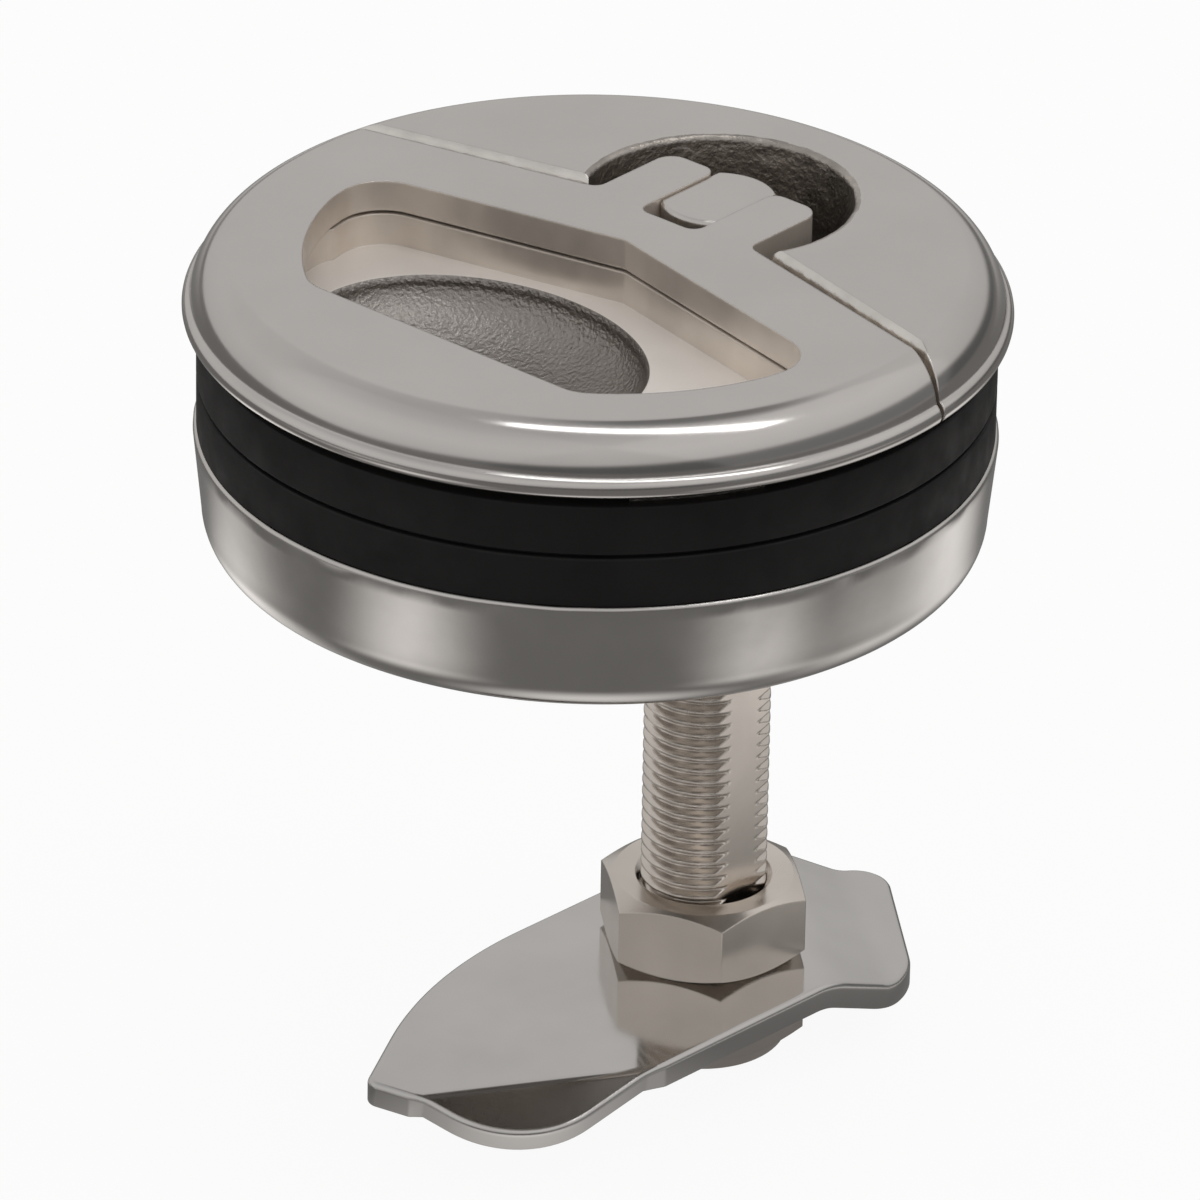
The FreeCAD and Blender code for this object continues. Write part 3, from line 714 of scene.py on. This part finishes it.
def make_shaft():
    """Eye and journal, and a stud with a real thread cut by two flats."""
    low = shaft_low.z
    top = cup_low.z + 4.0 * MM
    rows_per_pitch = 14
    columns = 144
    root_share = 0.12
    flank_share = 0.70
    lead_in_depth = 0.9 * MM
    rows = int((top - low) / thread_pitch * rows_per_pitch)
    points = []
    for i in range(rows + 1):
        z = low + (top - low) * i / rows
        for k in range(columns):
            angle = math.tau * k / columns
            phase = (z / thread_pitch - k / columns) % 1.0
            ramp = abs(phase - 0.5) * 2.0
            height = min(max((ramp - root_share) / flank_share, 0.0), 1.0)
            radius = stud_radius - thread_depth * (1.0 - height)
            lead_in = min((z - low) / MM, 1.0)
            radius -= (1.0 - lead_in) * lead_in_depth
            x = max(-stud_flat, min(stud_flat, radius * math.cos(angle)))
            y = radius * math.sin(angle)
            points.append((x * math.cos(cam_turn) - y * math.sin(cam_turn),
                           hinge_y + x * math.sin(cam_turn) + y * math.cos(cam_turn), z))
    faces = []
    for i in range(rows):
        for k in range(columns):
            n = (k + 1) % columns
            faces.append((i * columns + k, i * columns + n, (i + 1) * columns + n, (i + 1) * columns + k))
    faces.append(tuple(reversed(range(columns))))
    faces.append(tuple(rows * columns + k for k in range(columns)))
    stud = shade(outward(mesh_object("stud", points, faces, machined)), 28)
    chamfer = 0.3 * MM
    profile = [(0.0, shaft_high.z), (journal_radius - chamfer, shaft_high.z),
               (journal_radius, shaft_high.z - chamfer), (journal_radius, top - 0.5 * MM), (0.0, top - 0.5 * MM)]
    eye = lathe("eye", profile, satin, 160, (0.0, hinge_y))
    neck = heel_seat - 0.1 * MM
    for side in (1, -1):
        outline = [(side * eye_half, -far), (side * far, -far), (side * far, far), (side * eye_half, far)]
        eye = combine(eye, prism("cheek", outline, neck, flange_top + MM, wall_steel_painted_light), "DIFFERENCE")
    return stud, shade(eye)


def hex_nut(name, low, high, collar=0.0):
    """Hexagon nut with chamfered faces and a countersunk bore; a lock nut ends in a round collar below."""
    corner = nut_across / math.sqrt(3.0)
    outline = []
    for i in range(6):
        angle = math.radians(60 * i) + nut_turn
        outline.append((corner * math.cos(angle), corner * math.sin(angle)))
    hex_low = low + collar
    nut = prism(name, outline, hex_low, high, machined)
    drop = (corner - nut_face) * math.tan(math.radians(30))
    wide = corner + 0.1 * MM
    cone = [(0.0, hex_low), (nut_face, hex_low), (wide, hex_low + drop), (wide, high - drop),
            (nut_face, high), (0.0, high)]
    nut = combine(nut, lathe("cone", cone, machined, 192), "INTERSECT")
    if collar:
        turned = 0.8 * MM
        middle = (collar_radius - turned * ARC_MIDDLE, low + turned * ARC_MIDDLE)
        ring = [(0.0, low)] + arc((collar_radius - turned, low), middle, (collar_radius, low + turned), 8)
        ring += [(collar_radius, hex_low + 0.5 * MM), (0.0, hex_low + 0.5 * MM)]
        nut = combine(nut, lathe("collar", ring, machined, 192), "UNION")
    sink = 0.5 * MM
    hole = [(0.0, low - MM), (nut_bore + sink, low - MM), (nut_bore + sink, low), (nut_bore, low + sink),
            (nut_bore, high - sink), (nut_bore + sink, high), (nut_bore + sink, high + MM), (0.0, high + MM)]
    nut = combine(nut, lathe("bore", hole, machined, 128), "DIFFERENCE")
    nut.data.transform(Matrix.Translation((0, hinge_y, 0)))
    return shade(nut, 20)


def cam_outline():
    """Plan of the cam plate with the shaft at the origin."""
    return rounded([
        (cam_right, 14.5 * MM, 8.0 * MM),
        (-2.5 * MM, 28.0 * MM, 3.5 * MM),
        (cam_left, 8.0 * MM, 8.0 * MM),
        (cam_left, -23.8 * MM, 45.0 * MM),
        (-2.6 * MM, -42.0 * MM, 1.6 * MM),
        (cam_right, -37.3 * MM, 11.0 * MM),
    ], 24)


def joggle_line(height, shift, first, second):
    """Side view of one face of the joggled tail: points (distance, z) of two bends."""
    slope = [(-far, height, 0.0), (joggle_start - shift, height, first),
             (joggle_end - shift, height - joggle_drop, second), (far, height - joggle_drop, 0.0)]
    closing = [(far, height + far, 0.0), (-far, height + far, 0.0)]
    return rounded(slope + closing, 12)[:-2]


def height_on(line, distance):
    """Z of a side view at a distance."""
    for (x0, z0), (x1, z1) in zip(line, line[1:]):
        if distance <= x1:
            return z0 + (z1 - z0) * (distance - x0) / (x1 - x0)
    return line[-1][1]


def make_cam():
    """Cam plate: rounded upper edge, ramp bent down at one corner, joggled tail, double-D hole."""
    top = cam_top
    plate = prism("cam_plate", cam_outline(), top - cam_thickness, top, polished)
    work = bmesh.new()
    work.from_mesh(plate.data)
    rim = [edge for edge in work.edges if all(abs(v.co.z - top) < 1e-7 for v in edge.verts)]
    bmesh.ops.bevel(work, geom=rim, offset=cam_edge, segments=4, profile=0.5, affect="EDGES")
    rim = [edge for edge in work.edges if all(abs(v.co.z - top + cam_thickness) < 1e-7 for v in edge.verts)]
    bmesh.ops.bevel(work, geom=rim, offset=cam_lower_edge, segments=2, profile=0.5, affect="EDGES")
    work.to_mesh(plate.data)
    work.free()
    hole = []
    hole_steps = 96
    for i in range(hole_steps):
        angle = math.tau * i / hole_steps
        x = max(-cam_hole_flat, min(cam_hole_flat, nut_bore * math.cos(angle)))
        hole.append((x, nut_bore * math.sin(angle)))
    plate = combine(plate, prism("hole", hole, top - 2 * cam_thickness, top + MM, machined), "DIFFERENCE")
    ahead = Vector((math.cos(ramp_heading), math.sin(ramp_heading), 0.0))
    side = Vector((ahead.y, -ahead.x, 0.0))
    crease = Vector((cam_right, ramp_corner_y, 0.0)) - side * ramp_bend * math.tan(ramp_angle / 2)
    tail = Vector((math.cos(tail_heading), math.sin(tail_heading), 0.0))
    work = bmesh.new()
    work.from_mesh(plate.data)
    ramp_steps = 8
    tail_steps = 32
    tail_from, tail_span = 8.4, 10.6
    cuts = [(crease + side * ramp_bend * ramp_angle * i / ramp_steps, side) for i in range(ramp_steps + 1)]
    cuts += [(tail * (tail_from + tail_span * i / tail_steps) * MM, tail) for i in range(tail_steps + 1)]
    for point, normal in cuts:
        geometry = work.verts[:] + work.edges[:] + work.faces[:]
        bmesh.ops.bisect_plane(work, geom=geometry, dist=1e-8, plane_co=point, plane_no=normal)
    swell = cam_thickness * math.tan(math.atan2(joggle_drop, joggle_bend) / 2)
    upper = joggle_line(0.0, 0.0, joggle_bend, joggle_bend - cam_thickness)
    lower = joggle_line(-cam_thickness, swell, joggle_bend - cam_thickness, joggle_bend)
    for vertex in work.verts:
        depth = top - vertex.co.z
        beyond = (vertex.co - crease).dot(side)
        along = vertex.co.dot(tail)
        if beyond > 0:
            turn = min(beyond / ramp_bend, ramp_angle)
            rest = beyond - ramp_bend * turn
            out = (ramp_bend - depth) * math.sin(turn) + rest * math.cos(turn)
            drop = ramp_bend - (ramp_bend - depth) * math.cos(turn) + rest * math.sin(turn)
            vertex.co += side * (out - beyond)
            vertex.co.z = top - drop
        elif along > 0:
            share = depth / cam_thickness
            vertex.co.z = top + height_on(upper, along) * (1 - share) + height_on(lower, along) * share
    work.to_mesh(plate.data)
    work.free()
    plate.data.transform(Matrix.Translation((0, hinge_y, 0)) @ Matrix.Rotation(cam_turn, 4, "Z"))
    return shade(plate, 32, True)


def make_cup():
    """Drawn backing cup: bright lip, tapered wall, round corner and a hole for the stud."""
    top = cup_high.z
    low = cup_low.z
    foot = cup_radius - cup_draft
    bend = low + cup_corner
    wall = top - low - cup_corner - cup_lip
    inside = low + cup_sheet
    steps = 6
    outline = [(0.0, low), (foot - cup_corner, low)]
    outline += arc((foot - cup_corner, low), (foot - cup_corner * ARC_MIDDLE, low + cup_corner * ARC_MIDDLE),
                   (foot, bend), 14)[1:]
    outline += [(foot + (cup_radius - foot) * i / steps, bend + wall * i / steps) for i in range(1, steps + 1)]
    outline += arc((cup_radius, top - cup_lip), (cup_radius - cup_lip_middle, top - cup_lip_middle),
                   (cup_radius - cup_lip, top), steps)[1:]
    outline += [(cup_radius - cup_sheet, top), (foot - cup_sheet, bend), (foot - cup_corner, inside), (0.0, inside)]
    cup = lathe("cup_shell", outline, drawn)
    hole = lathe("cup_hole", [(0.0, low - MM), (cup_hole_radius, low - MM), (cup_hole_radius, inside + MM),
                              (0.0, inside + MM)], drawn, 96, (0.0, hinge_y))
    cup = combine(cup, hole, "DIFFERENCE")
    cup.name = "cup_shell"
    return shade(roughen(cup, 0.05 * MM, 5.0 * MM, lip_roughness), 40)


def lip_roughness(at):
    """Share of the cup's unevenness: only its lip has it."""
    return 1.0 if at.z > cup_high.z - 0.3 * MM and at.xy.length > 36 * MM else 0.0


def ring_corner(radius, z, inward, upward):
    """Rounded corner of a ring's section, in the order in which the outline passes it."""
    on_face = (radius + inward * ring_edge, z)
    middle = (radius + inward * ring_edge * ARC_MIDDLE, z + upward * ring_edge * ARC_MIDDLE)
    on_wall = (radius, z + upward * ring_edge)
    return arc(on_wall, middle, on_face, 4) if inward == upward else arc(on_face, middle, on_wall, 4)


def make_ring(name, low, high):
    """Rubber ring with rounded edges, and a step that darkens the joint between the two rings."""
    neck = ring_outer - ring_step_in
    wall_low, wall_high = low, high
    before, after = [], []
    if low > ring_joint - MM:
        wall_low = low + ring_step_high
        before = [(neck, low), (neck, wall_low)]
    if high < ring_joint + MM:
        wall_high = high - ring_step_high
        after = [(neck, wall_high), (neck, high)]
    outline = before + ring_corner(ring_outer, wall_low, -1, 1) + ring_corner(ring_outer, wall_high, -1, -1) + after
    outline += ring_corner(ring_inner, high, 1, -1) + ring_corner(ring_inner, low, 1, 1)
    return shade(lathe(name, outline, black_rubber), 50)


def dress_cad():
    """Materials of the CAD nodes that stay."""
    for node, material in {"hinge_pin": machined, "shaft_bush": acetal, "shaft_seal": black_rubber,
                           "cup_screws": machined, "screw_washers": black_rubber}.items():
        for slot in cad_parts[node].material_slots:
            slot.material = material


def place(piece, body, slot, *nodes):
    """Ride on a body and stand for CAD nodes; the finish slot is not used."""
    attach(piece, body)
    if nodes:
        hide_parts(*nodes)


def make_object():
    """All pieces of the latch."""
    dress_cad()
    place(make_handle(), "handle_body", "cast_steel", "handle")
    place(make_housing(), "latch_body", "cast_steel", "housing")
    stud, eye = make_shaft()
    place(stud, "shaft_body", "machined_steel", "shaft")
    place(eye, "shaft_body", "machined_steel")
    place(hex_nut("upper_nut", nut_low.z, nut_high.z), "cam_body", "machined_steel", "upper_cam_nut")
    lock_nut = hex_nut("lower_nut", lower_nut_low.z, lower_nut_high.z, collar_height)
    place(lock_nut, "cam_body", "machined_steel", "lower_cam_nut")
    place(make_cam(), "cam_body", "polished_steel", "cam")
    place(make_cup(), "latch_body", "polished_steel", "backing_cup")
    upper_ring = make_ring("upper_ring", upper_ring_low.z, upper_ring_high.z)
    place(upper_ring, "latch_body", "black_rubber", "upper_gasket")
    lower_ring = make_ring("lower_ring", lower_ring_low.z, lower_ring_high.z)
    place(lower_ring, "latch_body", "black_rubber", "lower_gasket")


def make_camera():
    """Camera at the photo's angle: fitted to the flange, rings and cup."""
    level = math.cos(camera_elevation)
    back = Vector((math.sin(camera_azimuth) * level, -math.cos(camera_azimuth) * level, math.sin(camera_elevation)))
    right = Vector((math.cos(camera_azimuth), math.sin(camera_azimuth), 0.0))
    up = back.cross(right)
    rolled_right = right * math.cos(camera_roll) + up * math.sin(camera_roll)
    rolled_up = up * math.cos(camera_roll) - right * math.sin(camera_roll)
    data = bpy.data.cameras.new("camera")
    data.sensor_width = 36.0
    data.lens = focal_pixels / image_pixels * data.sensor_width
    data.clip_start = 0.05
    data.clip_end = 50.0
    camera = link(bpy.data.objects.new("camera", data))
    place_at = camera_aim + back * camera_distance
    camera.matrix_world = Matrix((
        (rolled_right.x, rolled_up.x, back.x, place_at.x),
        (rolled_right.y, rolled_up.y, back.y, place_at.y),
        (rolled_right.z, rolled_up.z, back.z, place_at.z),
        (0, 0, 0, 1),
    ))
    bpy.context.scene.camera = camera


def area_light(name, place_at, target, size, power):
    """Softbox aimed at a point."""
    data = bpy.data.lights.new(name, "AREA")
    data.shape = "RECTANGLE"
    data.size, data.size_y = size
    data.energy = power
    lamp = link(bpy.data.objects.new(name, data))
    direction = Vector(target) - Vector(place_at)
    lamp.matrix_world = Matrix.Translation(place_at) @ direction.to_track_quat("-Z", "Y").to_matrix().to_4x4()


def on_floor(across, towards, level):
    """Point at a height, given to the camera's right and towards the camera."""
    x = across * math.cos(camera_azimuth) + towards * math.sin(camera_azimuth)
    y = across * math.sin(camera_azimuth) - towards * math.cos(camera_azimuth)
    return (x, y, level)


def add_fade(nodes, links, where, centre, distances, values):
    """Value that goes softly from the first of two values to the second between two distances from a point."""
    apart = nodes.new("ShaderNodeVectorMath")
    apart.operation = "DISTANCE"
    apart.inputs[1].default_value = centre
    fade = nodes.new("ShaderNodeMapRange")
    fade.interpolation_type = "SMOOTHSTEP"
    fade.inputs["From Min"].default_value, fade.inputs["From Max"].default_value = distances
    fade.inputs["To Min"].default_value, fade.inputs["To Max"].default_value = values
    links.new(where, apart.inputs[0])
    links.new(apart.outputs["Value"], fade.inputs["Value"])
    return fade.outputs["Result"]


def make_floor():
    """Floor that is white, with the object's shadow, for the camera's rays only.

    All other rays, and so the reflections in the metal, meet a grey floor with soft pools of light instead of the
    white one.
    """
    half = 6.0
    level = lower_nut_low.z - 0.2 * MM
    white_share = 0.93
    shadow_colour = (0.9, 0.9, 0.9, 1.0)
    grey = 0.19
    pool_colour = (1.0, 0.975, 0.95, 1.0)
    # Pools of light: right of the object, towards the camera, reach, strength
    pools = ((-0.085, 0.072, 0.055, 0.80), (-0.085, -0.045, 0.065, 1.00), (0.078, 0.078, 0.05, 0.65),
             (0.09, 0.01, 0.06, 0.65), (0.12, -0.055, 0.07, 0.85), (0.0, 0.038, 0.045, 0.75),
             (-0.30, 0.15, 0.18, 0.45), (0.30, 0.10, 0.16, 0.30), (0.0, -0.75, 0.6, 0.5))
    points = [(-half, -half, level), (half, -half, level), (half, half, level), (-half, half, level)]
    material = bpy.data.materials.new("floor")
    material.use_nodes = True
    nodes = material.node_tree.nodes
    links = material.node_tree.links
    nodes.clear()
    output = nodes.new("ShaderNodeOutputMaterial")
    path = nodes.new("ShaderNodeLightPath")
    diffuse = nodes.new("ShaderNodeBsdfDiffuse")
    diffuse.inputs["Color"].default_value = shadow_colour
    glow = nodes.new("ShaderNodeEmission")
    shown = nodes.new("ShaderNodeMixShader")
    shown.inputs["Fac"].default_value = white_share
    links.new(diffuse.outputs[0], shown.inputs[1])
    links.new(glow.outputs[0], shown.inputs[2])
    where = nodes.new("ShaderNodeTexCoord").outputs["Object"]
    total = None
    for across, towards, reach, strength in pools:
        add = nodes.new("ShaderNodeMath")
        add.operation = "ADD"
        pool = add_fade(nodes, links, where, on_floor(across, towards, level), (reach, 0.0), (0.0, strength))
        links.new(pool, add.inputs[0])
        if total:
            links.new(total, add.inputs[1])
        else:
            add.inputs[1].default_value = grey
        total = add.outputs[0]
    reflected = nodes.new("ShaderNodeEmission")
    reflected.inputs["Color"].default_value = pool_colour
    links.new(total, reflected.inputs["Strength"])
    mix = nodes.new("ShaderNodeMixShader")
    links.new(path.outputs["Is Camera Ray"], mix.inputs["Fac"])
    links.new(reflected.outputs[0], mix.inputs[1])
    links.new(shown.outputs[0], mix.inputs[2])
    links.new(mix.outputs[0], output.inputs["Surface"])
    mesh_object("floor", points, [(0, 1, 2, 3)], material)


def make_world():
    """Pale studio walls over a dark horizon, lowest at the camera's left and back, with one darker patch overhead."""
    lean = on_floor(-0.20, -0.14, 0.0)
    patch = on_floor(0.14, -0.40, 0.90)
    patch_distances = (0.10, 0.27)
    patch_strengths = (0.38, 1.0)
    horizon = 0.12
    zenith = 0.5
    # Walls between them: height, brightness
    walls = ((0.08, 0.14), (0.17, 0.58), (0.6, 0.66), (0.85, 0.62))
    green, blue = 0.985, 0.97
    world = bpy.data.worlds.new("studio")
    world.use_nodes = True
    nodes = world.node_tree.nodes
    links = world.node_tree.links
    background = nodes["Background"]
    where = nodes.new("ShaderNodeTexCoord").outputs["Generated"]
    split = nodes.new("ShaderNodeSeparateXYZ")
    side = nodes.new("ShaderNodeVectorMath")
    side.operation = "DOT_PRODUCT"
    side.inputs[1].default_value = lean
    height = nodes.new("ShaderNodeMath")
    height.operation = "ADD"
    ramp = nodes.new("ShaderNodeValToRGB")
    stops = ramp.color_ramp.elements
    stops[0].position = 0.0
    stops[0].color = (horizon, horizon, horizon, 1)
    stops[1].position = 1.0
    stops[1].color = (zenith, zenith, zenith, 1)
    for position, level in walls:
        stop = stops.new(position)
        stop.color = (level, level * green, level * blue, 1)
    links.new(where, split.inputs[0])
    links.new(where, side.inputs[0])
    links.new(split.outputs["Z"], height.inputs[0])
    links.new(side.outputs["Value"], height.inputs[1])
    links.new(height.outputs[0], ramp.inputs["Fac"])
    links.new(ramp.outputs["Color"], background.inputs["Color"])
    strength = add_fade(nodes, links, where, patch, patch_distances, patch_strengths)
    links.new(strength, background.inputs["Strength"])
    bpy.context.scene.world = world


def make_studio():
    """Camera, floor, world, lamps and colour handling."""
    make_camera()
    make_floor()
    make_world()
    middle = (0.0, 0.0, -0.03)
    # Lamps: (camera's right, towards the camera, height), size, power
    lamps = {
        "overhead": ((0.16, 0.05, 0.9), (0.14, 0.75), 1.1),
        "left_box": ((-0.9, 0.5, 0.7), (2.0, 2.0), 0.6),
        "right_box": ((0.9, 0.3, 0.6), (2.0, 2.0), 1.2),
    }
    for name, (place_at, size, power) in lamps.items():
        area_light(name, on_floor(*place_at), middle, size, power)
    bpy.context.scene.view_settings.view_transform = "Standard"


make_object()
make_studio()
